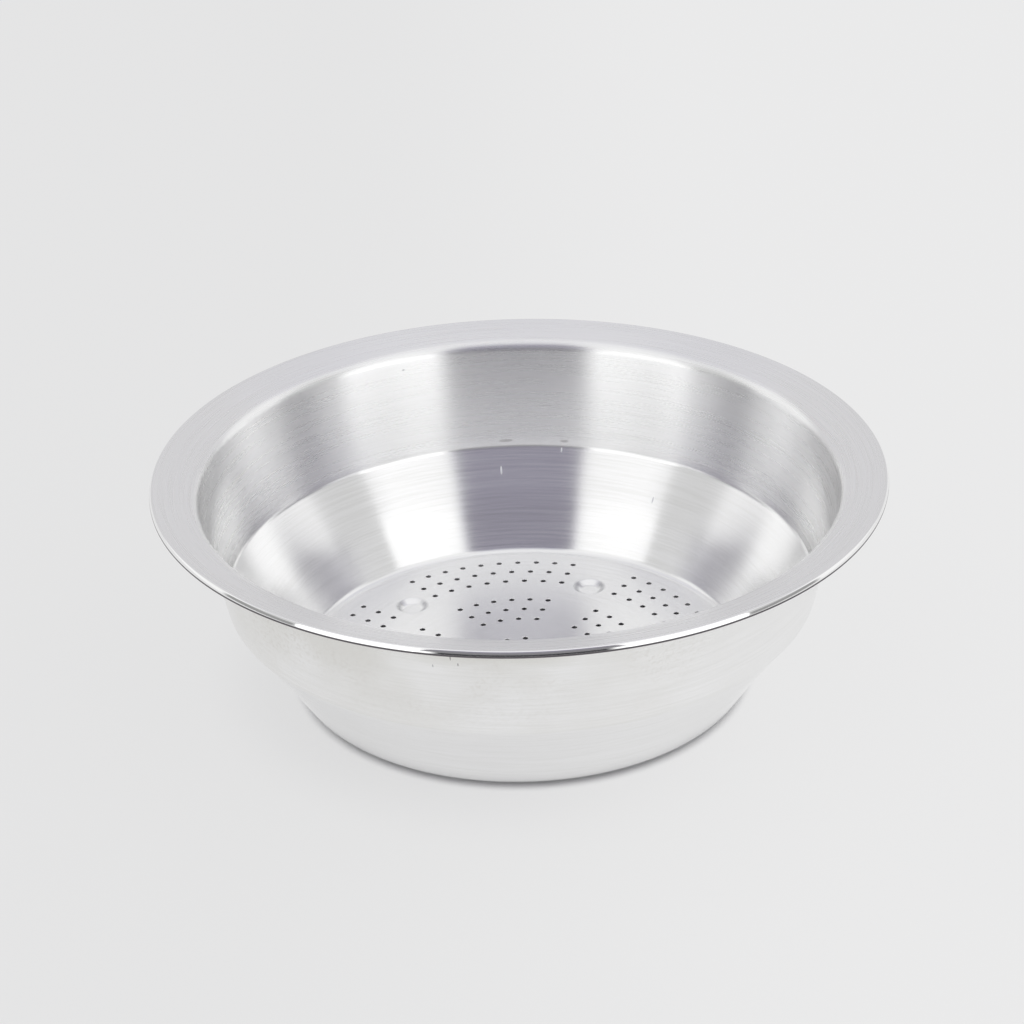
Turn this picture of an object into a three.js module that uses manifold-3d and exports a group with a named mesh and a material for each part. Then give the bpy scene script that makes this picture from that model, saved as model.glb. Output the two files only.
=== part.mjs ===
import * as THREE from 'three';
import { mergeVertices } from 'three/addons/utils/BufferGeometryUtils.js';
import Module from 'manifold-3d';

// A rice colander: a round basin spun from one aluminium sheet, with a flat perforated floor
// that stands on five pressed feet, a cone and a steeper wall above it, a flange that slopes
// in towards the mouth, and an edge that is rolled round a wire.
// Millimetres, +Z up. The origin is the middle of the plane that the feet stand on.

// Overall sizes. The rim plane is level with the centre of the wire in the rolled edge.
const rimDiameter = 320;
const bowlDepth = 96.8; // rim plane down to the top of the floor
const sheet = 0.6;

// The wall's corners, where the middle of the sheet would come to a point
const mouthDiameter = 281;
const shoulderDiameter = 260.4;
const shoulderDepth = 53.9; // rim plane down to the shoulder
const baseDiameter = 202;
const lowerWallHollow = 0.9; // how far the cone under the shoulder is drawn in at half height
const flangeSlope = 15; // degrees, down towards the mouth

// Bends, as radii at the middle of the sheet
const baseBend = 5;
const lowerWallBend = 200;
const shoulderBend = 6;
const lipBend = 6;

// The rolled edge and its wire
const wireDiameter = 1;
const wireClearance = 0.3;
const curlTurn = 285; // degrees that the sheet turns round the wire
const wireButtGap = 1.2; // between the two cut ends of the wire

// The five feet are round dimples pressed down through the floor
const feet = 5;
const footCircleDiameter = 144.4;
const footHeight = 1.8;
const footTopDiameter = 14.5;
const footTipDiameter = 8.4;

// The drain holes lie in five fan-shaped groups, one between each two feet. Row number k is k
// row spacings from the centre and has k holes in each group. Every fourth row is left out.
const holeDiameter = 2.5;
const holeRowSpacing = 9;
const outerHolePitch = 9;
const innerHolePitch = 8.6;
const outerBandFirstRow = 8;
const holeEdgeMargin = 5; // least width of plain floor outside the last row
const rowsPerBand = 4; // three rows of holes and one left out
const groupTurn = 99.5; // degrees from +X to the middle of the first group

// How finely round shapes are drawn
const aroundSteps = 60;
const curlSteps = 8;
const bendSteps = 3;
const wideBendSteps = 2;
const hollowSteps = 1;
const holeSides = 6;
const footSides = 16;
const wireSides = 8;
const cutOverrun = 1;

const degree = Math.PI / 180;
const fullTurn = 2 * Math.PI;
const floorUnderside = footHeight;
const floorMiddle = floorUnderside + sheet / 2;
const floorTop = floorUnderside + sheet;
const rimHeight = floorTop + bowlDepth;
const curlMiddleRadius = wireDiameter / 2 + wireClearance + sheet / 2;
const wireRingRadius = rimDiameter / 2 - curlMiddleRadius - sheet / 2;

const aluminium = new THREE.MeshStandardMaterial({ color: 0xd5d6d8, metalness: 1, roughness: 0.3 });
const steelWire = new THREE.MeshStandardMaterial({ color: 0x9a9c9f, metalness: 1, roughness: 0.4 });

// The end of the flange is where the sheet starts to turn round the wire.
function flangeEnd() {
  const slope = flangeSlope * degree;
  return new THREE.Vector2(
    wireRingRadius - Math.sin(slope) * curlMiddleRadius,
    rimHeight + Math.cos(slope) * curlMiddleRadius,
  );
}

// The lip is the corner between wall and flange. It lies on the flange's line.
function lipCorner() {
  const end = flangeEnd();
  const radius = mouthDiameter / 2;
  return new THREE.Vector2(radius, end.y - (end.x - radius) * Math.tan(flangeSlope * degree));
}

// The cone under the shoulder bends in slightly at half height.
function hollowCorner(base, shoulder) {
  const along = shoulder.clone().sub(base).normalize();
  const inward = new THREE.Vector2(-along.y, along.x);
  return base.clone().add(shoulder).divideScalar(2).addScaledVector(inward, lowerWallHollow);
}

// Samples of a round bend: the places on it and the normals to the right of the travel.
function bendSamples(centre, radius, startAngle, turn, steps) {
  const samples = [];
  const side = Math.sign(turn);
  for (let i = 0; i <= steps; i++) {
    const angle = startAngle + (turn * i) / steps;
    const out = new THREE.Vector2(Math.cos(angle), Math.sin(angle));
    const place = centre.clone().addScaledVector(out, radius);
    samples.push({ place, normal: out.multiplyScalar(side) });
  }
  return samples;
}

// Rounds the corner between the lines from previous to corner and on to next.
function roundCorner(previous, corner, next, radius, steps) {
  const arriving = corner.clone().sub(previous).normalize();
  const leaving = next.clone().sub(corner).normalize();
  const turn = Math.atan2(arriving.cross(leaving), arriving.dot(leaving));
  const side = Math.sign(turn);
  const start = corner.clone().addScaledVector(arriving, -radius * Math.tan(Math.abs(turn) / 2));
  const towardsCentre = new THREE.Vector2(-arriving.y, arriving.x).multiplyScalar(side);
  const centre = start.clone().addScaledVector(towardsCentre, radius);
  const startAngle = Math.atan2(-towardsCentre.y, -towardsCentre.x);
  return bendSamples(centre, radius, startAngle, turn, steps);
}

// The middle line of the sheet, from the axis out along the floor, up the wall and round the wire
function sheetMiddle() {
  const centre = new THREE.Vector2(0, floorMiddle);
  const base = new THREE.Vector2(baseDiameter / 2, floorMiddle);
  const shoulder = new THREE.Vector2(shoulderDiameter / 2, rimHeight - shoulderDepth);
  const hollow = hollowCorner(base, shoulder);
  const lip = lipCorner();
  const end = flangeEnd();
  const curlCentre = new THREE.Vector2(wireRingRadius, rimHeight);
  const curlStart = (90 + flangeSlope) * degree;
  return [
    { place: centre, normal: new THREE.Vector2(0, -1) },
    ...roundCorner(centre, base, hollow, baseBend, bendSteps),
    ...roundCorner(base, hollow, shoulder, lowerWallBend, hollowSteps),
    ...roundCorner(hollow, shoulder, lip, shoulderBend, wideBendSteps),
    ...roundCorner(shoulder, lip, end, lipBend, bendSteps),
    ...bendSamples(curlCentre, curlMiddleRadius, curlStart, -curlTurn * degree, curlSteps),
  ];
}

// Offsets the middle line to one face of the sheet: 1 is the underside, -1 the top.
function sheetFace(samples, side) {
  const offset = (side * sheet) / 2;
  return samples.map(({ place, normal }) => place.clone().addScaledVector(normal, offset));
}

// Turns an outline of (radius, height) points about the Z axis.
function turned(outline, steps) {
  return new THREE.LatheGeometry(outline, steps).rotateX(Math.PI / 2);
}

const wasm = await Module();
wasm.setup();

// A closed geometry as a solid for cutting and joining. Triangles that have shrunk to a line,
// as at the poles of a turned shape, are left out.
function toSolid(geometry) {
  const bare = geometry.clone().deleteAttribute('normal').deleteAttribute('uv');
  const merged = mergeVertices(bare);
  const corners = merged.index.array;
  const triangles = [];
  for (let i = 0; i < corners.length; i += 3) {
    const [a, b, c] = corners.slice(i, i + 3);
    if (a !== b && b !== c && c !== a) triangles.push(a, b, c);
  }
  const vertProperties = new Float32Array(merged.attributes.position.array);
  const triVerts = new Uint32Array(triangles);
  return new wasm.Manifold(new wasm.Mesh({ numProp: 3, vertProperties, triVerts }));
}

function toGeometry(solid) {
  const { vertProperties, triVerts } = solid.getMesh();
  const geometry = new THREE.BufferGeometry();
  geometry.setAttribute('position', new THREE.BufferAttribute(vertProperties, 3));
  geometry.setIndex(new THREE.BufferAttribute(triVerts, 1));
  geometry.computeVertexNormals();
  return geometry;
}

// A round plug with sloping sides, standing on the floor at a distance and angle from the centre
function plugAt(distance, angle, outline, sides) {
  const x = distance * Math.cos(angle);
  const y = distance * Math.sin(angle);
  return turned(outline, sides).rotateZ(angle).translate(x, y, 0);
}

// The side of a foot, as the radius of its underside at a height above the standing plane.
// The dish above it has the same side, raised by the thickness of the sheet.
function footRadius(height) {
  const sideRun = (footTopDiameter - footTipDiameter) / 2 / footHeight;
  return footTipDiameter / 2 + height * sideRun;
}

function footBump() {
  return [
    new THREE.Vector2(0, 0),
    new THREE.Vector2(footRadius(0), 0),
    new THREE.Vector2(footRadius(floorMiddle), floorMiddle),
    new THREE.Vector2(0, floorMiddle),
  ];
}

function footDish() {
  const top = floorTop + cutOverrun;
  return [
    new THREE.Vector2(0, sheet),
    new THREE.Vector2(footRadius(0), sheet),
    new THREE.Vector2(footRadius(top - sheet), top),
    new THREE.Vector2(0, top),
  ];
}

function holePunch() {
  const radius = holeDiameter / 2;
  const low = floorUnderside - cutOverrun;
  const high = floorTop + cutOverrun;
  return [
    new THREE.Vector2(0, low),
    new THREE.Vector2(radius, low),
    new THREE.Vector2(radius, high),
    new THREE.Vector2(0, high),
  ];
}

// The places of all drain holes as distance and angle
function holePlaces() {
  const places = [];
  const flatRadius = baseDiameter / 2 - baseBend;
  const lastRow = Math.floor((flatRadius - holeEdgeMargin) / holeRowSpacing);
  for (let row = 1; row <= lastRow; row++) {
    if (row % rowsPerBand === rowsPerBand - 1) continue;
    const distance = row * holeRowSpacing;
    const pitch = row < outerBandFirstRow ? innerHolePitch : outerHolePitch;
    for (let group = 0; group < feet; group++) {
      const middle = groupTurn * degree + (fullTurn * group) / feet;
      for (let hole = 0; hole < row; hole++) {
        const fromMiddle = (hole - (row - 1) / 2) * pitch;
        places.push({ distance, angle: middle + fromMiddle / distance });
      }
    }
  }
  return places;
}

// The places of the feet, half way between the groups of holes
function footPlaces() {
  const places = [];
  for (let foot = 0; foot < feet; foot++) {
    const angle = groupTurn * degree + (fullTurn * (foot + 1 / 2)) / feet;
    places.push({ distance: footCircleDiameter / 2, angle });
  }
  return places;
}

// One solid that holds a plug of the given outline at each place
function plugs(places, outline, sides) {
  const solids = places.map(({ distance, angle }) => toSolid(plugAt(distance, angle, outline, sides)));
  return solids.reduce((all, solid) => all.add(solid));
}

function bowlGeometry() {
  const samples = sheetMiddle();
  const outline = [...sheetFace(samples, 1), ...sheetFace(samples, -1).reverse()];
  const shell = toSolid(turned(outline, aroundSteps));
  const bumps = plugs(footPlaces(), footBump(), footSides);
  const dishes = plugs(footPlaces(), footDish(), footSides);
  const punches = plugs(holePlaces(), holePunch(), holeSides);
  return toGeometry(shell.add(bumps).subtract(dishes).subtract(punches));
}

// The wire's centre line: a circle that stops short of closing by the gap between its ends
class WireLine extends THREE.Curve {
  getPoint(share, target = new THREE.Vector3()) {
    const gapTurn = wireButtGap / wireRingRadius;
    const angle = gapTurn / 2 + share * (fullTurn - gapTurn);
    return target.set(wireRingRadius * Math.cos(angle), wireRingRadius * Math.sin(angle), rimHeight);
  }
}

function wireGeometry() {
  const section = new THREE.Shape().absarc(0, 0, wireDiameter / 2, 0, fullTurn);
  return new THREE.ExtrudeGeometry(section, {
    curveSegments: wireSides / 2,
    steps: aroundSteps,
    extrudePath: new WireLine(),
  });
}

const colander = new THREE.Group();
colander.name = 'rice_colander';

const bowl = new THREE.Mesh(bowlGeometry(), aluminium);
bowl.name = 'bowl';
colander.add(bowl);

const rimWire = new THREE.Mesh(wireGeometry(), steelWire);
rimWire.name = 'rim_wire';
colander.add(rimWire);

export default colander;
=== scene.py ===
"""Looks of a rice colander, spun from one aluminium sheet, with a wired rolled edge.

Metres, +Z up. The origin is the middle of the plane that the five feet stand on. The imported
solids give the colander its place and its outer size. Its basin and the wire in its edge are
modelled here with fine curves, round drain holes and rounded feet.
"""
import logging
import math
from dataclasses import dataclass
from enum import Enum
from typing import Any, Callable, NamedTuple

import bpy
from mathutils import Matrix, Vector


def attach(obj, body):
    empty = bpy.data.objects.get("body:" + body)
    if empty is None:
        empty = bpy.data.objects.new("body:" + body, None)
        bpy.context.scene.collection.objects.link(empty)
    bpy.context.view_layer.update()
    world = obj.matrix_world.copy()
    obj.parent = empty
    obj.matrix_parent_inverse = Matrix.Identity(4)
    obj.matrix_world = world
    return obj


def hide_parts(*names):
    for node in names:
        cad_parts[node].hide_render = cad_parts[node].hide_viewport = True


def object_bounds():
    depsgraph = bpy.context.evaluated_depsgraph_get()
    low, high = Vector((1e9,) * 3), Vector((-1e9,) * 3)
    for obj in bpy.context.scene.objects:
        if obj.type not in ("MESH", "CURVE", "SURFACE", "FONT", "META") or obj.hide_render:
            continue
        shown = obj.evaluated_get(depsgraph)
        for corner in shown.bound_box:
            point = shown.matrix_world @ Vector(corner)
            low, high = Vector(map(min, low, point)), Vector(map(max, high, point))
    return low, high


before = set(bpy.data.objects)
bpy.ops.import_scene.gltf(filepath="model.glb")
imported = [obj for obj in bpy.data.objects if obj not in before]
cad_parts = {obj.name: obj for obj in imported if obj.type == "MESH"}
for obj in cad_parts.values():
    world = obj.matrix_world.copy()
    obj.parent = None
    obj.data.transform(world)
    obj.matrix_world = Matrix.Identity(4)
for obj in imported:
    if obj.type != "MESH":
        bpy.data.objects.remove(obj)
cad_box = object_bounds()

log = logging.getLogger("colander")

MM = 0.001
UP = Vector((0, 0, 1))
MERGE = 0.002 * MM  # points that lie nearer than this become one
SMOOTH_BELOW = math.radians(32)  # faces that meet at less than this are shaded as one
PHOTO_SIDE = 1024  # pixels along each side of the photograph
SHARE, FIRST, SECOND, MIXED = 0, 6, 7, 2  # sockets of a colour Mix node, the last its result
SOFT_EDGE = 1 * MM  # over which a patch of finish fades out
MARK_CORE = 0.3  # a mark shows in full where its squared distance, in half sizes, is below this
MEAN_NOISE = 0.5

Colour = tuple[float, float, float, float]
Span = tuple[float, float]


# Outlines of the sheet


class Station(NamedTuple):
    """A place on the sheet's middle line, as (radius, height), and the way to its underside."""

    place: Vector
    normal: Vector


def bend(centre: Vector, radius: float, start: float, turn: float, steps: int) -> list[Station]:
    """Stations round a bend.

    Args:
        centre: Centre of the bend.
        radius: Radius of the sheet's middle line.
        start: Angle of the first station as seen from the centre.
        turn: Angle that the bend turns through, positive against the clock.
        steps: Number of steps between the first station and the last.

    Returns:
        The stations in order, both ends included.
    """
    stations = []
    for i in range(steps + 1):
        angle = start + turn * i / steps
        out = Vector((math.cos(angle), math.sin(angle)))
        stations.append(Station(centre + out * radius, out * math.copysign(1, turn)))
    return stations


def round_corner(before: Vector, corner: Vector, after: Vector, radius: float, steps: int) -> list[Station]:
    """Stations of the bend that rounds a corner between two straight runs.

    Args:
        before: The corner before this one.
        corner: Where the two straight runs would meet.
        after: The corner after this one.
        radius: Radius of the bend.
        steps: Number of steps round it.

    Returns:
        The bend's stations.
    """
    arriving = (corner - before).normalized()
    leaving = (after - corner).normalized()
    turn = math.atan2(arriving.cross(leaving), arriving.dot(leaving))
    start = corner - arriving * radius * math.tan(abs(turn) / 2)
    to_centre = Vector((-arriving.y, arriving.x)) * math.copysign(1, turn)
    return bend(start + to_centre * radius, radius, math.atan2(-to_centre.y, -to_centre.x), turn, steps)


@dataclass(frozen=True)
class SheetShape:
    """Sizes of the spun sheet, from the floor to the rolled edge."""

    outer_radius: float
    bowl_depth: float = 96.8 * MM
    sheet: float = 0.6 * MM
    foot_height: float = 1.8 * MM
    mouth_radius: float = 140.5 * MM
    shoulder_radius: float = 130.2 * MM
    shoulder_depth: float = 53.9 * MM
    base_radius: float = 101 * MM
    lower_wall_hollow: float = 0.9 * MM
    flange_slope: float = math.radians(15)
    base_bend: float = 5 * MM
    lower_wall_bend: float = 200 * MM
    shoulder_bend: float = 6 * MM
    lip_bend: float = 6 * MM
    edge_reach: float = 1.67 * MM  # from the wire's centre out to the edge
    edge_start: float = 0.42 * MM  # from over the wire along the flange to the edge's bend
    flange_over_wire: float = 0.95 * MM  # middle of the sheet over the wire's centre
    edge_bend: float = 0.5 * MM
    face_bend: float = 6 * MM
    face_top: float = math.radians(30)
    face_foot: float = math.radians(14)
    tuck_bend: float = 0.36 * MM
    tuck_turn: float = math.radians(190)
    base_steps: int = 10
    hollow_steps: int = 6
    shoulder_steps: int = 12
    lip_steps: int = 12
    curl_steps: int = 12
    face_steps: int = 4

    @property
    def floor_top(self) -> float:
        """Height of the floor's upper face."""
        return self.foot_height + self.sheet

    @property
    def rim_height(self) -> float:
        """Height of the centre of the rolled edge."""
        return self.floor_top + self.bowl_depth

    @property
    def wire_ring_radius(self) -> float:
        """Distance from the axis to the centre of the wire."""
        return self.outer_radius - self.edge_reach

    @property
    def flange_up(self) -> Vector:
        """The way that the flange's upper face looks."""
        return Vector((-math.sin(self.flange_slope), math.cos(self.flange_slope)))

    @property
    def edge_foot(self) -> float:
        """Height at which the pressed face of the edge turns under."""
        wire = Vector((self.wire_ring_radius, self.rim_height))
        return self.rolled_edge(wire)[self.curl_steps + self.face_steps].place.y

    def rolled_edge(self, wire: Vector) -> list[Station]:
        """Stations of the rolled edge: over the wire, down its pressed face and back under.

        Args:
            wire: Centre of the wire's section.

        Returns:
            The stations in order, from the flange's end to the sheet's cut edge.
        """
        up = self.flange_up
        flange_end = wire + up * self.flange_over_wire + Vector((up.y, -up.x)) * self.edge_start
        start = math.pi / 2 + self.flange_slope
        over_centre = flange_end - up * self.edge_bend
        over = bend(over_centre, self.edge_bend, start, self.face_top - start, self.curl_steps)
        top = over[-1]
        face_turn = self.face_foot - self.face_top
        face_centre = top.place + top.normal * self.face_bend
        face = bend(face_centre, self.face_bend, self.face_top, face_turn, self.face_steps)
        foot = face[-1]
        tuck_centre = foot.place + foot.normal * self.tuck_bend
        under = bend(tuck_centre, self.tuck_bend, self.face_foot, -self.tuck_turn, self.curl_steps)
        return [*over, *face[1:], *under[1:]]

    @property
    def shoulder_height(self) -> float:
        """Height of the shoulder's corner."""
        return self.rim_height - self.shoulder_depth

    @property
    def upper_wall_lean(self) -> float:
        """How far the upper wall goes out for each unit that it goes up."""
        return (self.mouth_radius - self.shoulder_radius) / (self.mouth_height - self.shoulder_height)

    @property
    def lower_wall_lean(self) -> float:
        """How far the lower wall goes out for each unit that it goes up."""
        return (self.shoulder_radius - self.base_radius) / (self.shoulder_height - self.foot_height)

    @property
    def mouth_height(self) -> float:
        """Height of the corner between the upper wall and the flange."""
        return self.rim_height - (self.wire_ring_radius - self.mouth_radius) * math.tan(self.flange_slope)

    @property
    def flat_radius(self) -> float:
        """Radius at which the flat floor starts to bend up."""
        return self.middle()[0].place.x

    def middle(self) -> list[Station]:
        """Stations of the sheet's middle line, from the edge of the flat floor to the curl's end.

        Returns:
            The stations in order.
        """
        floor_middle = self.foot_height + self.sheet / 2
        centre = Vector((0, floor_middle))
        base = Vector((self.base_radius, floor_middle))
        shoulder = Vector((self.shoulder_radius, self.shoulder_height))
        along = (shoulder - base).normalized()
        hollow = (base + shoulder) / 2 + Vector((-along.y, along.x)) * self.lower_wall_hollow
        edge = self.rolled_edge(Vector((self.wire_ring_radius, self.rim_height)))
        end = edge[0].place
        lip = Vector((self.mouth_radius, end.y - (end.x - self.mouth_radius) * math.tan(self.flange_slope)))
        return [
            *round_corner(centre, base, hollow, self.base_bend, self.base_steps),
            *round_corner(base, hollow, shoulder, self.lower_wall_bend, self.hollow_steps),
            *round_corner(hollow, shoulder, lip, self.shoulder_bend, self.shoulder_steps),
            *round_corner(shoulder, lip, end, self.lip_bend, self.lip_steps),
            *edge,
        ]


# Modelling moves


class Bench:
    """One object on the bench, shaped in edit mode."""

    def __init__(self, name: str, place: Vector) -> None:
        """Starts the object as a single point.

        Args:
            name: The object's name.
            place: Where the point is.
        """
        bpy.ops.object.select_all(action="DESELECT")
        bpy.ops.mesh.primitive_plane_add(size=MM, location=place)
        self.object = bpy.context.object
        self.object.name = name
        self.object.data.name = name
        bpy.ops.object.transform_apply(location=True, rotation=True, scale=True)
        bpy.ops.object.mode_set(mode="EDIT")
        bpy.ops.mesh.select_all(action="SELECT")
        bpy.ops.mesh.merge(type="CENTER")

    def draw(self, outline: list[Vector]) -> None:
        """Draws on from the selected point through the outline, by extruding it.

        Args:
            outline: Points as (radius, height); the first one is where the point already is.
        """
        for start, end in zip(outline, outline[1:]):
            step = (end.x - start.x, 0, end.y - start.y)
            bpy.ops.mesh.extrude_vertices_move(TRANSFORM_OT_translate={"value": step})

    def spin(self, steps: int) -> None:
        """Spins all that was drawn a whole turn round the Z axis and closes the seam.

        Args:
            steps: Number of steps round.
        """
        bpy.ops.mesh.select_all(action="SELECT")
        bpy.ops.mesh.spin(steps=steps, angle=math.tau, center=(0, 0, 0), axis=UP)
        bpy.ops.mesh.select_all(action="SELECT")
        bpy.ops.mesh.remove_doubles(threshold=MERGE)

    def leave(self) -> bpy.types.Object:
        """Leaves edit mode and hands the object over."""
        bpy.ops.object.mode_set(mode="OBJECT")
        return self.object


def placed_copy(piece: bpy.types.Object, matrix: Matrix) -> bpy.types.Object:
    """Copies a piece, with a mesh of its own, and puts the copy in place.

    Args:
        piece: The piece to copy.
        matrix: Where the copy goes; it is applied to the copy's mesh.

    Returns:
        The copy.
    """
    copy = piece.copy()
    copy.data = piece.data.copy()
    copy.data.transform(matrix)
    bpy.context.collection.objects.link(copy)
    return copy


def join(pieces: list[bpy.types.Object]) -> bpy.types.Object:
    """Joins pieces into the first of them.

    Args:
        pieces: The pieces; only the first is left.

    Returns:
        The first piece, which now holds them all.
    """
    bpy.ops.object.select_all(action="DESELECT")
    for piece in pieces:
        piece.select_set(True)
    bpy.context.view_layer.objects.active = pieces[0]
    bpy.ops.object.join()
    return pieces[0]


def select_edges(piece: bpy.types.Object, wanted: Callable[[Vector, Vector], bool]) -> None:
    """Goes into edit mode with only the open edges selected that a test picks out.

    Args:
        piece: The piece, in object mode.
        wanted: Says of an edge's two ends whether the edge is selected.
    """
    bpy.ops.object.select_all(action="DESELECT")
    piece.select_set(True)
    bpy.context.view_layer.objects.active = piece
    bpy.ops.object.mode_set(mode="EDIT")
    bpy.ops.mesh.select_mode(type="EDGE")
    bpy.ops.mesh.select_all(action="DESELECT")
    bpy.ops.mesh.select_non_manifold(
        use_wire=False, use_multi_face=False, use_non_contiguous=False, use_verts=False
    )
    bpy.ops.object.mode_set(mode="OBJECT")
    mesh = piece.data
    for edge in mesh.edges:
        if edge.select:
            ends = [mesh.vertices[i].co for i in edge.vertices]
            edge.select = wanted(*ends)
    bpy.ops.object.mode_set(mode="EDIT")


# Sub-assemblies


@dataclass
class Basin:
    """The spun sheet: floor with drain holes and feet, two-stage wall, flange and rolled edge."""

    shape: SheetShape
    feet: int = 5
    foot_circle_radius: float = 72.2 * MM
    foot_top_radius: float = 7.25 * MM
    foot_tip_radius: float = 4.2 * MM
    foot_bend: float = 2.2 * MM
    foot_easing: float = 0.25  # share of the roundest bend that fits the foot's side
    hole_radius: float = 1.25 * MM
    hole_chamfer: float = 0.18 * MM
    row_spacing: float = 9 * MM
    outer_pitch: float = 9 * MM
    inner_pitch: float = 8.6 * MM
    outer_band_first_row: int = 8
    edge_margin: float = 5 * MM
    rows_per_band: int = 4  # every fourth row has no holes, from the third on
    group_turn: float = math.radians(99.5)  # from +X to the middle of the first fan of holes
    around_steps: int = 240
    hole_steps: int = 20
    foot_steps: int = 48
    bend_steps: int = 6
    guard: float = 0.4 * MM  # of flat floor that is spun with the wall

    def outline(self) -> list[Vector]:
        """The open outline of the wall, from the floor's upper face over the edge to its underside.

        Returns:
            Points as (radius, height).
        """
        half = self.shape.sheet / 2
        stations = self.shape.middle()
        upper = [s.place - s.normal * half for s in stations]
        under = [s.place + s.normal * half for s in stations]
        guards = [Vector((self.shape.flat_radius - self.guard, p.y)) for p in (upper[0], under[0])]
        return [guards[0], *upper, *reversed(under), guards[1]]

    def spin_wall(self) -> bpy.types.Object:
        """Spins the wall, flange and rolled edge."""
        outline = self.outline()
        bench = Bench("basin", Vector((outline[0].x, 0, outline[0].y)))
        bench.draw(outline)
        bench.spin(self.around_steps)
        return bench.leave()

    def hole_collar(self) -> bpy.types.Object:
        """Models the inside of one drain hole, with eased edges, on the axis."""
        top, under = self.shape.floor_top, self.shape.foot_height
        ease = self.hole_chamfer
        wide = self.hole_radius + ease
        outline = [
            Vector((wide, top)),
            Vector((self.hole_radius, top - ease)),
            Vector((self.hole_radius, under + ease)),
            Vector((wide, under)),
        ]
        bench = Bench("hole", Vector((outline[0].x, 0, outline[0].y)))
        bench.draw(outline)
        bench.spin(self.hole_steps)
        return bench.leave()

    def foot_line(self) -> list[Vector]:
        """The rounded line of a foot's underside, from the axis out to the flat floor.

        Returns:
            Points as (radius, height).
        """
        floor = Vector((self.foot_top_radius + self.foot_bend, self.shape.foot_height))
        tip = Vector((self.foot_tip_radius, 0))
        edge = Vector((self.foot_top_radius, self.shape.foot_height))
        rise = (edge - tip).angle(Vector((1, 0)))
        reach = self.foot_bend / math.tan(rise / 2) * self.foot_easing
        lower = round_corner(Vector((0, 0)), tip, edge, reach, self.bend_steps)
        upper = round_corner(tip, edge, floor, reach, self.bend_steps)
        return [Vector((0, 0)), *(s.place for s in lower + upper), floor]

    def foot(self) -> bpy.types.Object:
        """Models both faces of one pressed foot, on the axis."""
        bench = Bench("foot", Vector((0, 0, 0)))
        bench.draw(self.foot_line())
        bench.spin(self.foot_steps)
        lower = bench.leave()
        upper = placed_copy(lower, Matrix.Translation(UP * self.shape.sheet))
        return join([lower, upper])

    def hole_places(self) -> list[Vector]:
        """The places of the drain holes: fans of rows, one fan between each two feet.

        Returns:
            Points on the plan.
        """
        places = []
        last_row = int((self.shape.flat_radius - self.edge_margin) / self.row_spacing)
        for row in range(1, last_row + 1):
            if row % self.rows_per_band == self.rows_per_band - 1:
                continue
            distance = row * self.row_spacing
            pitch = self.inner_pitch if row < self.outer_band_first_row else self.outer_pitch
            for group in range(self.feet):
                middle = self.group_turn + math.tau * group / self.feet
                for hole in range(row):
                    angle = middle + (hole - (row - 1) / 2) * pitch / distance
                    places.append(Vector((math.cos(angle), math.sin(angle), 0)) * distance)
        return places

    def foot_places(self) -> list[Vector]:
        """The places of the feet, half way between the fans of holes."""
        places = []
        for foot in range(self.feet):
            angle = self.group_turn + math.tau * (foot + 0.5) / self.feet
            places.append(Vector((math.cos(angle), math.sin(angle), 0)) * self.foot_circle_radius)
        return places

    def close_floor(self, piece: bpy.types.Object) -> None:
        """Fills the floor's two faces between the wall, the feet and the holes.

        Args:
            piece: The joined basin, whose floor is still open.
        """
        for level in (self.shape.floor_top, self.shape.foot_height):
            select_edges(piece, lambda a, b: max(abs(a.z - level), abs(b.z - level)) < MERGE)
            bpy.ops.mesh.fill(use_beauty=True)
            bpy.ops.object.mode_set(mode="OBJECT")

    def build(self) -> bpy.types.Object:
        """Models the whole basin.

        Returns:
            The finished mesh object, closed, with its faces pointing out.
        """
        wall = self.spin_wall()
        collar = self.hole_collar()
        foot = self.foot()
        collars = [placed_copy(collar, Matrix.Translation(p)) for p in self.hole_places()]
        feet = [placed_copy(foot, Matrix.Translation(p)) for p in self.foot_places()]
        for pattern in (collar, foot):
            bpy.data.objects.remove(pattern)
        basin = join([wall, *collars, *feet])
        self.close_floor(basin)
        bpy.ops.object.mode_set(mode="EDIT")
        bpy.ops.mesh.select_all(action="SELECT")
        bpy.ops.mesh.normals_make_consistent(inside=False)
        bpy.ops.object.mode_set(mode="OBJECT")
        bpy.ops.object.shade_smooth_by_angle(angle=SMOOTH_BELOW)
        return basin


@dataclass
class RimWire:
    """The steel wire inside the rolled edge, a ring with a gap between its two cut ends."""

    shape: SheetShape
    wire_radius: float = 0.5 * MM
    butt_gap: float = 1.2 * MM
    around_steps: int = 240
    section_steps: int = 16

    def build(self) -> bpy.types.Object:
        """Models the wire.

        Returns:
            The finished mesh object.
        """
        ring = self.shape.wire_ring_radius
        gap = self.butt_gap / ring
        bpy.ops.object.select_all(action="DESELECT")
        bpy.ops.mesh.primitive_circle_add(
            vertices=self.section_steps,
            radius=self.wire_radius,
            fill_type="NGON",
            location=(ring, 0, self.shape.rim_height),
            rotation=(math.pi / 2, 0, 0),
        )
        wire = bpy.context.object
        wire.name = wire.data.name = "wire"
        bpy.ops.object.transform_apply(location=True, rotation=True, scale=True)
        bpy.ops.object.mode_set(mode="EDIT")
        bpy.ops.mesh.select_all(action="SELECT")
        bpy.ops.transform.rotate(value=-gap / 2, orient_axis="Z", center_override=(0, 0, 0))
        bpy.ops.mesh.spin(steps=self.around_steps, angle=math.tau - gap, center=(0, 0, 0), axis=UP)
        bpy.ops.mesh.select_all(action="SELECT")
        bpy.ops.mesh.normals_make_consistent(inside=False)
        bpy.ops.object.mode_set(mode="OBJECT")
        bpy.ops.object.shade_smooth_by_angle(angle=SMOOTH_BELOW)
        return wire


# Finishes


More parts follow.
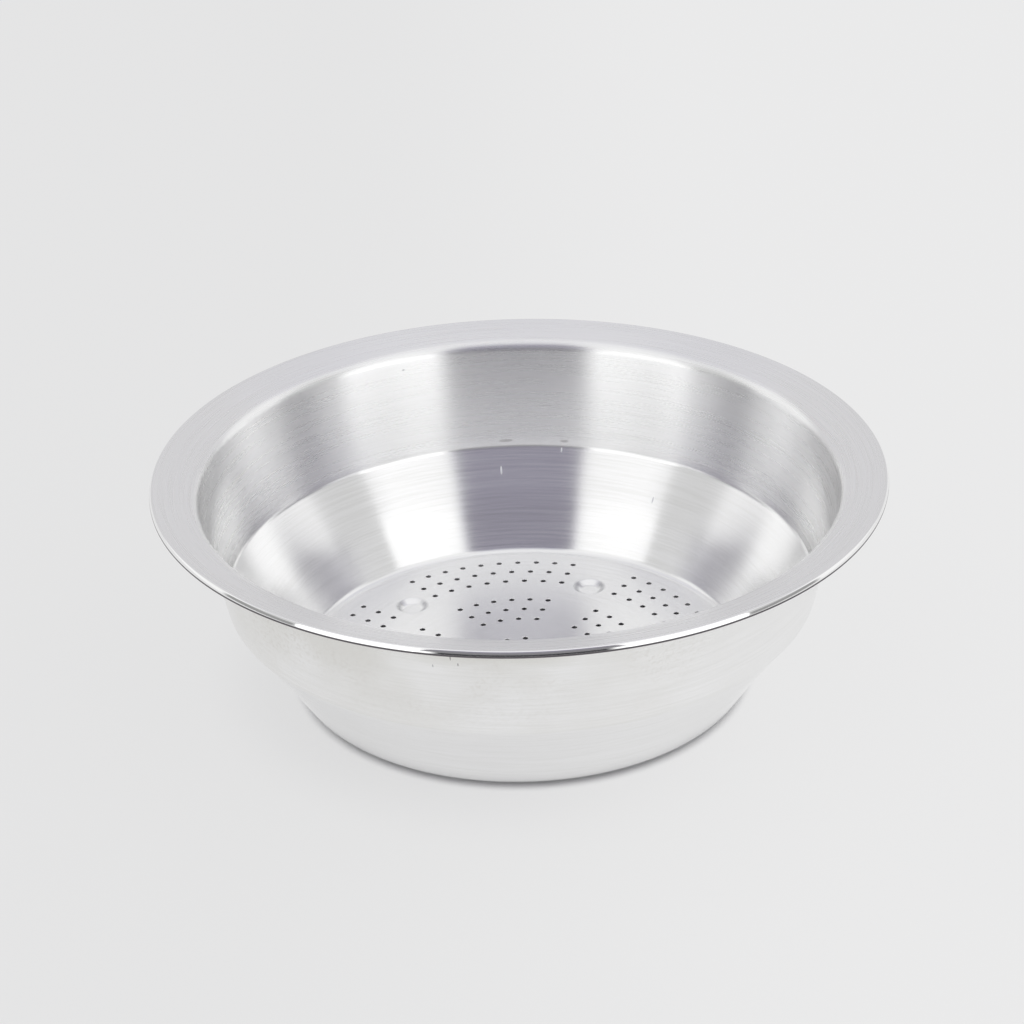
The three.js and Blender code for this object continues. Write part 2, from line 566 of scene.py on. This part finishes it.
class Channel:
    """A number that a finish works out over a surface. Sums on it add Math nodes."""

    def __init__(self, board: "Board", socket: bpy.types.NodeSocket) -> None:
        """Wraps an output socket.

        Args:
            board: The board that the socket's node is on.
            socket: The output socket.
        """
        self.board = board
        self.socket = socket

    def sum(self, operation: str, *values: "Channel | float") -> "Channel":
        """Adds one Math node to the board.

        Args:
            operation: The Math node's operation.
            values: Its inputs in order.

        Returns:
            The node's result.
        """
        sockets = dict(enumerate(values))
        return self.board.add("ShaderNodeMath", {"operation": operation}, sockets)

    def __add__(self, other: "Channel | float") -> "Channel":
        """Adds."""
        return self.sum("ADD", self, other)

    __radd__ = __add__

    def __sub__(self, other: "Channel | float") -> "Channel":
        """Subtracts."""
        return self.sum("SUBTRACT", self, other)

    def __rsub__(self, other: float) -> "Channel":
        """Subtracts this from a number."""
        return self.sum("SUBTRACT", other, self)

    def __mul__(self, other: "Channel | float") -> "Channel":
        """Multiplies."""
        return self.sum("MULTIPLY", self, other)

    __rmul__ = __mul__

    def __truediv__(self, other: "Channel | float") -> "Channel":
        """Divides."""
        return self.sum("DIVIDE", self, other)

    def root(self) -> "Channel":
        """Takes the square root."""
        return self.sum("SQRT", self)

    def size(self) -> "Channel":
        """Drops the sign."""
        return self.sum("ABSOLUTE", self)

    def angle_from(self, other: "Channel") -> "Channel":
        """Gives the angle of the point (other, self) on the plan."""
        return self.sum("ARCTAN2", self, other)

    def slope_angle(self) -> "Channel":
        """Gives the angle whose sine this is."""
        return self.sum("ARCSINE", self)

    def capped(self, most: "Channel | float") -> "Channel":
        """Gives the smaller of this and another."""
        return self.sum("MINIMUM", self, most)

    def floored(self, least: "Channel | float") -> "Channel":
        """Gives the larger of this and another."""
        return self.sum("MAXIMUM", self, least)

    def fade(self, low: float, high: float) -> "Channel":
        """Goes smoothly from 0 at low to 1 at high; low may be the larger.

        Args:
            low: Value at which the result is 0.
            high: Value at which the result is 1.

        Returns:
            The mask.
        """
        falls = float(low > high)
        values = {"Value": self, "From Min": min(low, high), "From Max": max(low, high)}
        ends = {"To Min": falls, "To Max": 1 - falls}
        return self.board.add("ShaderNodeMapRange", {"interpolation_type": "SMOOTHSTEP"}, {**values, **ends})


class Board:
    """The node board of one finish, or of the world."""

    def __init__(self, owner: bpy.types.Material | bpy.types.World) -> None:
        """Takes over the nodes of a material or world and clears them.

        Args:
            owner: The material or world.
        """
        owner.use_nodes = True
        self.tree = owner.node_tree
        self.tree.nodes.clear()

    def add(
        self,
        kind: str,
        settings: dict[str, Any] | None = None,
        sockets: dict[str | int, Any] | None = None,
        result: str | int = 0,
    ) -> Channel | None:
        """Adds a node.

        Args:
            kind: The node's type.
            settings: The node's own settings, set before its sockets.
            sockets: Values or links by the input's name or number.
            result: Name or number of the output that is handed back.

        Returns:
            The output, ready for sums, or nothing from a node that has none.
        """
        node = self.tree.nodes.new(kind)
        for name, value in (settings or {}).items():
            setattr(node, name, value)
        for key, value in (sockets or {}).items():
            if isinstance(value, Channel):
                self.tree.links.new(value.socket, node.inputs[key])
            else:
                node.inputs[key].default_value = value
        return Channel(self, node.outputs[result]) if node.outputs else None

    def mix(self, share: Channel | float, first: Channel | Colour, second: Channel | Colour) -> Channel:
        """Mixes two colours.

        Args:
            share: How much of the second colour shows.
            first: The first colour.
            second: The second colour.

        Returns:
            The mixed colour.
        """
        sockets = {SHARE: share, FIRST: first, SECOND: second}
        return self.add("ShaderNodeMix", {"data_type": "RGBA"}, sockets, MIXED)

    def vector(self, x: Channel | float, y: Channel | float, z: Channel | float) -> Channel:
        """Makes a vector from three numbers."""
        return self.add("ShaderNodeCombineXYZ", None, {"X": x, "Y": y, "Z": z})


class Grain(NamedTuple):
    """A layer of lines that the lathe left: how close they lie and how far round they run."""

    per_metre: float
    runs_round: float
    detail: float


class Patches(NamedTuple):
    """Irregular patches of soil, cut out of a noise."""

    per_metre: float
    seed: float
    starts: float  # value of the noise at which a patch starts
    full: float  # value at which it shows in full


class Face(Enum):
    """The face of the wall that a mark is on, and the side, +Y or -Y, where the view shows it."""

    INSIDE = 1
    OUTSIDE = -1


class Tone(Enum):
    """The colour of a mark; a bright one is near-white and not metallic."""

    BRIGHT = (0.94, 0.95, 0.98, 1)
    GREY = (0.62, 0.62, 0.63, 1)
    DULL = (0.71, 0.70, 0.70, 1)
    DARK = (0.30, 0.29, 0.29, 1)


class Mark(NamedTuple):
    """A small mark that use has left on the wall."""

    turn: float  # degrees to the right of the wall's middle, as the photograph shows that face
    height: float
    width: float
    length: float
    face: Face
    tone: Tone


MARKS = (
    Mark(-3.9, 36.1 * MM, 0.55 * MM, 2.2 * MM, Face.INSIDE, Tone.BRIGHT),
    Mark(9.5, 44.2 * MM, 0.50 * MM, 1.3 * MM, Face.INSIDE, Tone.BRIGHT),
    Mark(32.9, 29.7 * MM, 0.50 * MM, 1.5 * MM, Face.INSIDE, Tone.BRIGHT),
    Mark(-23.0, 88.7 * MM, 0.9 * MM, 0.5 * MM, Face.INSIDE, Tone.GREY),
    Mark(-2.5, 48.4 * MM, 4.2 * MM, 0.8 * MM, Face.INSIDE, Tone.DULL),
    Mark(10.0, 48.2 * MM, 2.5 * MM, 0.8 * MM, Face.INSIDE, Tone.DULL),
    Mark(-11.9, 84.5 * MM, 0.25 * MM, 1.6 * MM, Face.OUTSIDE, Tone.DARK),
    Mark(-10.7, 81.2 * MM, 0.25 * MM, 0.9 * MM, Face.OUTSIDE, Tone.DARK),
    Mark(-15.0, 79.4 * MM, 0.30 * MM, 1.0 * MM, Face.OUTSIDE, Tone.GREY),
)


@dataclass(frozen=True)
class Surface:
    """The coordinates that a finish of the sheet works in."""

    board: Board
    shape: SheetShape
    x: Channel
    y: Channel
    z: Channel
    radius: Channel

    @classmethod
    def of(cls, board: Board, shape: SheetShape) -> "Surface":
        """Reads the coordinates of the finished piece.

        Args:
            board: The finish's board.
            shape: The sheet that the finish is for.

        Returns:
            The coordinates.
        """
        place = board.add("ShaderNodeTexCoord", None, None, "Object")
        x, y, z = (board.add("ShaderNodeSeparateXYZ", None, {0: place}, axis) for axis in "XYZ")
        return cls(board, shape, x, y, z, (x * x + y * y).root().floored(SOFT_EDGE))

    def lines(self, grain: Grain) -> Channel:
        """Gives lathe lines: noise that is drawn out round the axis.

        Args:
            grain: How close the lines lie and how far they run.

        Returns:
            The noise, from 0 to 1.
        """
        round_x = self.y / self.radius * grain.runs_round
        round_y = self.x / self.radius * grain.runs_round
        vector = self.board.vector(self.radius * grain.per_metre, self.z * grain.per_metre, round_x)
        sockets = {"Vector": vector, "W": round_y, "Scale": 1.0, "Detail": grain.detail}
        return self.board.add("ShaderNodeTexNoise", {"noise_dimensions": "4D"}, sockets)

    def patches(self, patches: Patches) -> Channel:
        """Masks irregular patches.

        Args:
            patches: How close they lie and how much they cover.

        Returns:
            The mask.
        """
        vector = self.board.vector(self.x, self.y, self.z)
        sockets = {"Vector": vector, "W": patches.seed, "Scale": patches.per_metre, "Detail": 2.0}
        noise = self.board.add("ShaderNodeTexNoise", {"noise_dimensions": "4D"}, sockets)
        return noise.fade(patches.starts, patches.full)

    def outer_face(self) -> Channel:
        """Masks what lies outside the middle of the wall's sheet."""
        shape = self.shape
        upper = shape.shoulder_radius + (self.z - shape.shoulder_height) * shape.upper_wall_lean
        lower = shape.base_radius + self.z * shape.lower_wall_lean
        return (self.radius - upper.capped(lower)).fade(-shape.sheet / 4, shape.sheet / 4)

    def from_axis(self, place: Vector) -> Channel:
        """Gives the distance from an upright axis through a place on the plan."""
        across, along = self.x - place.x, self.y - place.y
        return (across * across + along * along).root()

    def mark(self, mark: Mark, outside: Channel) -> Channel:
        """Masks one mark.

        Args:
            mark: The mark.
            outside: The mask of the wall's outer face.

        Returns:
            The mark's mask.
        """
        turn = math.radians(mark.turn)
        side = mark.face.value
        across = self.x * math.cos(turn) - self.y * side * math.sin(turn)
        along = self.x * math.sin(turn) + self.y * side * math.cos(turn)
        wide, high = across / mark.width, (self.z - mark.height) / mark.length
        face = outside if mark.face is Face.OUTSIDE else 1 - outside
        return (wide * wide + high * high).fade(1.0, MARK_CORE) * along.fade(0, SOFT_EDGE) * face


@dataclass(frozen=True)
class SpunAluminium:
    """Spun aluminium: bright metal with fine lines round the axis, a polished edge and wear."""

    name: str = "spun_aluminium"
    clean: Colour = (0.975, 0.975, 0.975, 1)
    worn: Colour = (0.93, 0.93, 0.925, 1)
    worn_to_clean: Span = (0.38, 0.58)  # of the lines' noise
    broad_lines: Grain = Grain(per_metre=900, runs_round=2.0, detail=3)
    fine_lines: Grain = Grain(per_metre=2600, runs_round=5, detail=3)
    broad_share: float = 0.6  # of the lines' depth; the fine lines give the rest
    line_depth: float = 0.007 * MM
    floor_calm: float = 0.6  # share of the lines' depth that the floor lacks
    satin_calm: float = 0.35
    roughness: float = 0.21
    polished_roughness: float = 0.07
    pressed_roughness: float = 0.13
    broad_roughness: float = 0.08
    fine_roughness: float = 0.04
    satin_roughness: float = 0.07  # more on the flange and the inside of the upper wall
    satin_fade: float = 6 * MM
    floor_fade: float = 3 * MM
    flange_fade: float = 3 * MM
    stretch: float = 0.9
    across_the_lines: float = 0.25  # share of a turn from the lines to the way the gloss spreads
    polish_width: float = 0.7 * MM
    # painted shade: a near-black band where the rolled edge turns under towards the wall
    painted_edge_shade: Colour = (0.13, 0.12, 0.13, 1)
    painted_edge_shade_width: float = 0.2 * MM
    painted_edge_shade_lift: float = 0.35 * MM
    # painted shade: the left and right walls of each foot's dip are drawn darker
    dip_side_shade: Colour = (0.50, 0.50, 0.52, 1)
    dip_side_shade_share: float = 0.85
    dip_side_shade_width: float = 2 * MM
    dip_side_shade_sides: Span = (0.5, 0.95)  # how far to each side of a foot the painted shade starts and shows in full
    film: Colour = (0.80, 0.79, 0.755, 1)
    film_share: float = 0.8
    film_patches: Patches = Patches(per_metre=22, seed=3.0, starts=0.3, full=0.65)
    film_low: float = 40 * MM
    film_high: float = 85 * MM
    film_least: float = 0.4  # share of the film that is left low down
    right_lit_reach: float = 110 * MM
    right_lit_film_off: float = 0.85  # share of the film that is missing that far to the right; the film is a real stain, and its fading there is painted light, that side lit brighter
    stain_middle: float = -12 * MM  # of the stain below the edge, to the right of the front's middle
    stain_reach: float = 48 * MM
    stain_core: float = 16 * MM
    stain_low: float = 76 * MM
    stain_high: float = 87 * MM
    specks: Colour = (0.66, 0.63, 0.58, 1)
    specks_share: float = 0.3
    speck_grains: Patches = Patches(per_metre=600, seed=7.0, starts=0.50, full=0.62)
    speck_groups: Patches = Patches(per_metre=22, seed=9.0, starts=0.42, full=0.6)

    def outside(self, surface: Surface) -> Channel:
        """Masks the wall's outer face, below the flange."""
        under = surface.shape.mouth_height
        below = surface.z.fade(under - SOFT_EDGE, under - self.flange_fade)
        return surface.outer_face() * below

    def feet(self, surface: Surface, basin: Basin) -> tuple[Channel, Channel]:
        """Masks the feet.

        Args:
            surface: The coordinates.
            basin: The basin that has the feet.

        Returns:
            The mask of the pressed feet and that of the painted shade on the left and right walls of each
            foot's dip.
        """
        pressed = dip_side_shade = 0.0
        top, tip = basin.foot_top_radius, basin.foot_tip_radius
        for place in basin.foot_places():
            distance = surface.from_axis(place)
            foot = distance.fade(top + SOFT_EDGE, top - SOFT_EDGE)
            pressed = pressed + foot
            # painted shade on the dip's walls to the left and right of each foot
            at_side = ((surface.x - place.x).size() / distance).fade(*self.dip_side_shade_sides)
            dip_side_shade = dip_side_shade + distance.fade(tip, tip + self.dip_side_shade_width) * foot * at_side
        return pressed, dip_side_shade

    def film_mask(self, surface: Surface, soil_and_right_light: Channel, outside: Channel) -> Channel:
        """Masks the yellowish film and the stain below the edge.

        Args:
            surface: The coordinates.
            soil_and_right_light: Where the wall bears soil, and how much; it falls off to the right as
                painted light, that side being lit brighter.
            outside: The mask of the wall's outer face.

        Returns:
            The mask.
        """
        film = surface.patches(self.film_patches) * soil_and_right_light * self.film_share
        near = (surface.x - self.stain_middle).size().fade(self.stain_reach, self.stain_core)
        high = surface.z.fade(self.stain_low, self.stain_high)
        return film.floored(high * near * surface.y.fade(0, -SOFT_EDGE) * outside)

    def material(self, basin: Basin) -> bpy.types.Material:
        """Builds the material.

        Args:
            basin: The basin that it is for, whose sizes place the polish and the wear.

        Returns:
            The material.
        """
        shape = basin.shape
        material = bpy.data.materials.new(self.name)
        board = Board(material)
        surface = Surface.of(board, shape)
        outside = self.outside(surface)
        broad, fine = surface.lines(self.broad_lines), surface.lines(self.fine_lines)
        wire, half_polish = shape.wire_ring_radius, self.polish_width / 2
        polished = surface.radius.fade(wire - half_polish, wire + half_polish)
        pressed, dip_side_shade = self.feet(surface, basin)
        smooth = (polished + pressed).capped(1)
        shoulder, floor = shape.shoulder_height, shape.floor_top
        satin = surface.z.fade(shoulder, shoulder + self.satin_fade) * (1 - outside)
        on_floor = surface.z.fade(floor + self.floor_fade, floor + SOFT_EDGE)
        height = (broad * self.broad_share + fine * (1 - self.broad_share)) * (1 - smooth)
        height = height * (1 - on_floor * self.floor_calm) * (1 - satin * self.satin_calm)
        relief = {"Strength": 1.0, "Distance": self.line_depth, "Height": height}
        bump = board.add("ShaderNodeBump", None, relief)

        spread = (broad - MEAN_NOISE) * self.broad_roughness + (fine - MEAN_NOISE) * self.fine_roughness
        rough = self.roughness + spread + satin * self.satin_roughness
        rough = rough * (1 - smooth) + polished * self.polished_roughness
        rough = rough + pressed * self.pressed_roughness

        kept = surface.z.fade(self.film_low, self.film_high) * (1 - self.film_least) + self.film_least
        # painted light: the soil fades off to the right of the outer wall, which is lit brighter
        soil_and_right_light = outside * kept * (1 - surface.x.fade(0, self.right_lit_reach) * self.right_lit_film_off)
        specks = surface.patches(self.speck_grains) * surface.patches(self.speck_groups)
        specks = specks * soil_and_right_light * kept * self.specks_share
        # painted shade along the underside of the rolled edge
        foot = shape.edge_foot + self.painted_edge_shade_lift
        tuck_shade = surface.z.fade(foot + self.painted_edge_shade_width / 2, foot - self.painted_edge_shade_width / 2)

        clean = ((broad + fine) / 2).fade(*self.worn_to_clean)
        colour = board.mix(clean, self.worn, self.clean)
        colour = board.mix(self.film_mask(surface, soil_and_right_light, outside), colour, self.film)
        colour = board.mix(specks, colour, self.specks)
        colour = board.mix(dip_side_shade * self.dip_side_shade_share, colour, self.dip_side_shade)
        colour = board.mix(polished * tuck_shade, colour, self.painted_edge_shade)
        metallic = 1.0
        for mark in MARKS:
            mask = surface.mark(mark, outside)
            colour = board.mix(mask, colour, mark.tone.value)
            if mark.tone is Tone.BRIGHT:
                metallic = metallic - mask
        sockets = {
            "Base Color": colour,
            "Metallic": metallic,
            "Roughness": rough,
            "Anisotropic": self.stretch,
            "Anisotropic Rotation": self.across_the_lines,
            "Normal": bump,
        }
        shader = board.add("ShaderNodeBsdfPrincipled", None, sockets)
        board.add("ShaderNodeOutputMaterial", None, {"Surface": shader})
        return material


@dataclass(frozen=True)
class DrawnWire:
    """Plain drawn steel wire."""

    name: str = "drawn_steel"
    colour: Colour = (0.56, 0.57, 0.58, 1)
    dull_colour: Colour = (0.448, 0.456, 0.464, 1)
    mottle_per_metre: float = 900
    roughness: float = 0.35
    dull_roughness: float = 0.15  # more where it is dull

    def material(self) -> bpy.types.Material:
        """Builds the material."""
        material = bpy.data.materials.new(self.name)
        board = Board(material)
        place = board.add("ShaderNodeTexCoord", None, None, "Object")
        noise = {"Vector": place, "Scale": self.mottle_per_metre, "Detail": 2.0}
        mottle = board.add("ShaderNodeTexNoise", None, noise)
        colour = board.mix(mottle, self.colour, self.dull_colour)
        rough = self.roughness + mottle * self.dull_roughness
        sockets = {"Base Color": colour, "Metallic": 1.0, "Roughness": rough}
        shader = board.add("ShaderNodeBsdfPrincipled", None, sockets)
        board.add("ShaderNodeOutputMaterial", None, {"Surface": shader})
        return material


@dataclass(frozen=True)
class PalePaint:
    """Pale matt paint of the studio floor with a glow: even, but brighter to the right as painted light, and
    fading out round the colander and on its left as painted shadow.
    """

    name: str = "pale_paint"
    colour: Colour = (0.86, 0.86, 0.865, 1)
    # painted light: the glow is dimmer to the left and brighter to the right
    painted_light_left: Colour = (0.805, 0.805, 0.805, 1)
    painted_light_right: Colour = (0.855, 0.855, 0.855, 1)
    seen_turn: float = 150 * MM  # to each side of the middle, over which the light changes
    evenness: float = 0.85  # share of the even light in how the floor is seen
    shade_start: float = 104.8 * MM  # radius inside which the floor's own light fades out
    shade_end: float = 99.0 * MM
    near: float = 150 * MM
    left_shadow_share: float = 0.2  # of the floor's own light that it lacks to the left of the colander
    roughness: float = 0.8
    sheen: float = 0.2

    def material(self) -> bpy.types.Material:
        """Builds the material."""
        material = bpy.data.materials.new(self.name)
        board = Board(material)
        matt = {"Base Color": self.colour, "Roughness": self.roughness, "Specular IOR Level": self.sheen}
        paint = board.add("ShaderNodeBsdfPrincipled", None, matt)
        place = board.add("ShaderNodeTexCoord", None, None, "Object")
        x, y = (board.add("ShaderNodeSeparateXYZ", None, {0: place}, axis) for axis in "XY")
        to_right = x.fade(-self.seen_turn, self.seen_turn)
        light = board.mix(to_right, self.painted_light_left, self.painted_light_right)
        glow = board.add("ShaderNodeEmission", None, {"Color": light, "Strength": 1.0})
        radius = (x * x + y * y).root()
        # painted shadow: the glow fades out round the colander and is weaker near it on the left
        left_painted_shadow = radius.fade(self.near, self.shade_start) * (1 - to_right)
        glow_outside_shade = radius.fade(self.shade_end, self.shade_start) * (1 - left_painted_shadow * self.left_shadow_share)
        seen = board.add("ShaderNodeLightPath", None, None, "Is Camera Ray")
        for ray in ("Is Glossy Ray", "Is Transmission Ray"):
            seen = seen + board.add("ShaderNodeLightPath", None, None, ray)
        sockets = {0: seen * glow_outside_shade * self.evenness, 1: paint, 2: glow}
        shader = board.add("ShaderNodeMixShader", None, sockets)
        board.add("ShaderNodeOutputMaterial", None, {"Surface": shader})
        return material


# Studio


@dataclass(frozen=True)
class Softbox:
    """A panel of soft light that faces the colander."""

    name: str
    azimuth: float  # degrees from the back of the view, positive to its right
    elevation: float  # degrees above the floor
    distance: float
    width: float
    height: float
    radiance: float  # as a share of plain white

    def build(self) -> bpy.types.Object:
        """Hangs the panel."""
        turn, lift = math.radians(self.azimuth), math.radians(self.elevation)
        away = Vector((math.sin(turn) * math.cos(lift), math.cos(turn) * math.cos(lift), math.sin(lift)))
        bpy.ops.object.light_add(type="AREA", location=away * self.distance)
        lamp = bpy.context.object
        lamp.name = self.name
        lamp.rotation_euler = away.to_track_quat("Z", "Y").to_euler()
        lamp.data.shape = "RECTANGLE"
        lamp.data.size, lamp.data.size_y = self.width, self.height
        lamp.data.energy = self.radiance * math.pi * self.width * self.height
        lamp.visible_camera = False
        return lamp


@dataclass(frozen=True)
class View:
    """The camera that took the photograph, found from the rim, the holes and the base."""

    focal_pixels: float = 2584.1
    distance_share: float = 7.0344  # of the rim's radius
    elevation: float = 0.4657  # this and the next three in radians
    yaw: float = -0.0029
    pitch: float = -0.0173
    roll: float = 0.0243
    sensor: float = 36.0  # mm
    nearest: float = 50 * MM

    def build(self, shape: SheetShape) -> bpy.types.Object:
        """Sets the camera up.

        Args:
            shape: The sheet, whose rim the camera was found from.

        Returns:
            The camera.
        """
        target = Vector((0, 0, shape.rim_height))
        back = Vector((0, -math.cos(self.elevation), math.sin(self.elevation)))
        place = target + back * self.distance_share * shape.outer_radius
        aim = Matrix((Vector((1, 0, 0)), back.cross(Vector((1, 0, 0))), back))
        turn = (
            Matrix.Rotation(self.roll, 3, "Z")
            @ Matrix.Rotation(-self.pitch, 3, "X")
            @ Matrix.Rotation(self.yaw, 3, "Y")
        )
        bpy.ops.object.camera_add(location=place)
        camera = bpy.context.object
        camera.rotation_euler = (turn @ aim).transposed().to_euler()
        camera.data.sensor_width = self.sensor
        camera.data.lens = self.focal_pixels / PHOTO_SIDE * self.sensor
        camera.data.clip_start = self.nearest
        camera.data.dof.use_dof = False
        bpy.context.scene.camera = camera
        return camera


class Wall(NamedTuple):
    """A stretch of the room's walls, alike to the left and right, as the metal reflects it."""

    name: str
    azimuth: Span  # first and last, in degrees from the back of the view
    elevation: Span  # lowest and highest, in degrees above the floor
    colour: Colour


@dataclass
class Studio:
    """Plain pale floor, soft light and the camera."""

    shape: SheetShape
    floor_side: float = 30.0  # metres
    ceiling: Colour = (0.875, 0.875, 0.89, 1)
    edge: float = 4.0  # degrees over which one stretch of wall fades into the next
    all_round: Span = (0, 180)  # degrees of azimuth that the walls can take up
    all_up: Span = (0, 90)
    walls: tuple[Wall, ...] = (
        Wall("back", (0, 53), (0, 45), (0.665, 0.66, 0.675, 1)),
        Wall("back_high", (0, 60), (45, 65), (0.675, 0.67, 0.715, 1)),
        Wall("side", (53, 86), (0, 45), (0.95, 0.95, 0.95, 1)),
        Wall("side_high", (60, 86), (45, 65), (0.865, 0.865, 0.865, 1)),
        Wall("gap_low", (86, 113), (0, 15), (0.32, 0.32, 0.32, 1)),
        Wall("gap", (86, 113), (15, 45), (0.62, 0.62, 0.62, 1)),
        Wall("round_lamps", (113, 150), (0, 38), (0.71, 0.71, 0.71, 1)),
        Wall("over_lamps", (113, 150), (38, 65), (0.925, 0.925, 0.925, 1)),
        Wall("beside_camera", (148, 155), (0, 14), (1.25, 1.25, 1.25, 1)),
        Wall("camera_low", (155, 180), (0, 14), (0.05, 0.05, 0.055, 1)),
        Wall("camera", (150, 180), (14, 28), (0.235, 0.228, 0.245, 1)),
        Wall("over_camera", (150, 180), (28, 50), (0.205, 0.192, 0.252, 1)),
        Wall("camera_high", (150, 180), (50, 65), (0.38, 0.37, 0.45, 1)),
    )
    softboxes: tuple[Softbox, ...] = (
        Softbox("softbox_left", -132, 17.5, 4.2, 2.8, 2.9, 0.58),
        Softbox("softbox_right", 132, 17.5, 4.2, 2.8, 2.9, 0.67),
    )

    def build_floor(self) -> bpy.types.Object:
        """Lays the floor."""
        bpy.ops.object.select_all(action="DESELECT")
        bpy.ops.mesh.primitive_plane_add(size=self.floor_side)
        floor = bpy.context.object
        floor.name = "studio_floor"
        floor.data.materials.append(PalePaint().material())
        return floor

    def stretch(self, value: Channel, ends: Span, whole: Span) -> Channel | float:
        """Masks the values between two ends, with soft edges.

        Args:
            value: The value, in degrees.
            ends: Where the stretch starts and ends.
            whole: The least and the most that there is; an end that lies there has no edge.

        Returns:
            The mask.
        """
        half = self.edge / 2
        mask = 1.0
        if ends[0] > whole[0]:
            mask = mask * value.fade(ends[0] - half, ends[0] + half)
        if ends[1] < whole[1]:
            mask = mask * value.fade(ends[1] + half, ends[1] - half)
        return mask

    def light_room(self) -> None:
        """Gives the room its soft light: pale walls and ceiling, dark behind the camera."""
        world = bpy.data.worlds.new("room")
        bpy.context.scene.world = world
        board = Board(world)
        way = board.add("ShaderNodeTexCoord", None, None, "Generated")
        side, depth, height = (board.add("ShaderNodeSeparateXYZ", None, {0: way}, axis) for axis in "XYZ")
        azimuth = side.angle_from(depth).size() * math.degrees(1)
        elevation = height.slope_angle() * math.degrees(1)
        colour = self.ceiling
        for wall in self.walls:
            across = self.stretch(azimuth, wall.azimuth, self.all_round)
            up = self.stretch(elevation, wall.elevation, self.all_up)
            colour = board.mix(across * up, colour, wall.colour)
        light = board.add("ShaderNodeBackground", None, {"Color": colour, "Strength": 1.0})
        board.add("ShaderNodeOutputWorld", None, {"Surface": light})

    def build(self) -> None:
        """Sets up floor, lights and camera."""
        self.build_floor()
        self.light_room()
        for softbox in self.softboxes:
            softbox.build()
        View().build(self.shape)
        bpy.context.scene.view_settings.view_transform = "Standard"


def main() -> None:
    """Builds the colander and its studio."""
    logging.basicConfig(level=logging.INFO, format="%(name)s: %(message)s")
    shape = SheetShape(outer_radius=cad_box[1].x)
    sheet = Basin(shape)
    basin = sheet.build()
    basin.data.materials.append(SpunAluminium().material(sheet))
    wire = RimWire(shape).build()
    wire.data.materials.append(DrawnWire().material())
    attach(basin, "root")
    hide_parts("bowl")
    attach(wire, "root")
    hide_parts("rim_wire")
    for piece in (basin, wire):
        log.info("%s: %d faces", piece.name, len(piece.data.polygons))
    Studio(shape).build()


if __name__ == "__main__":
    main()
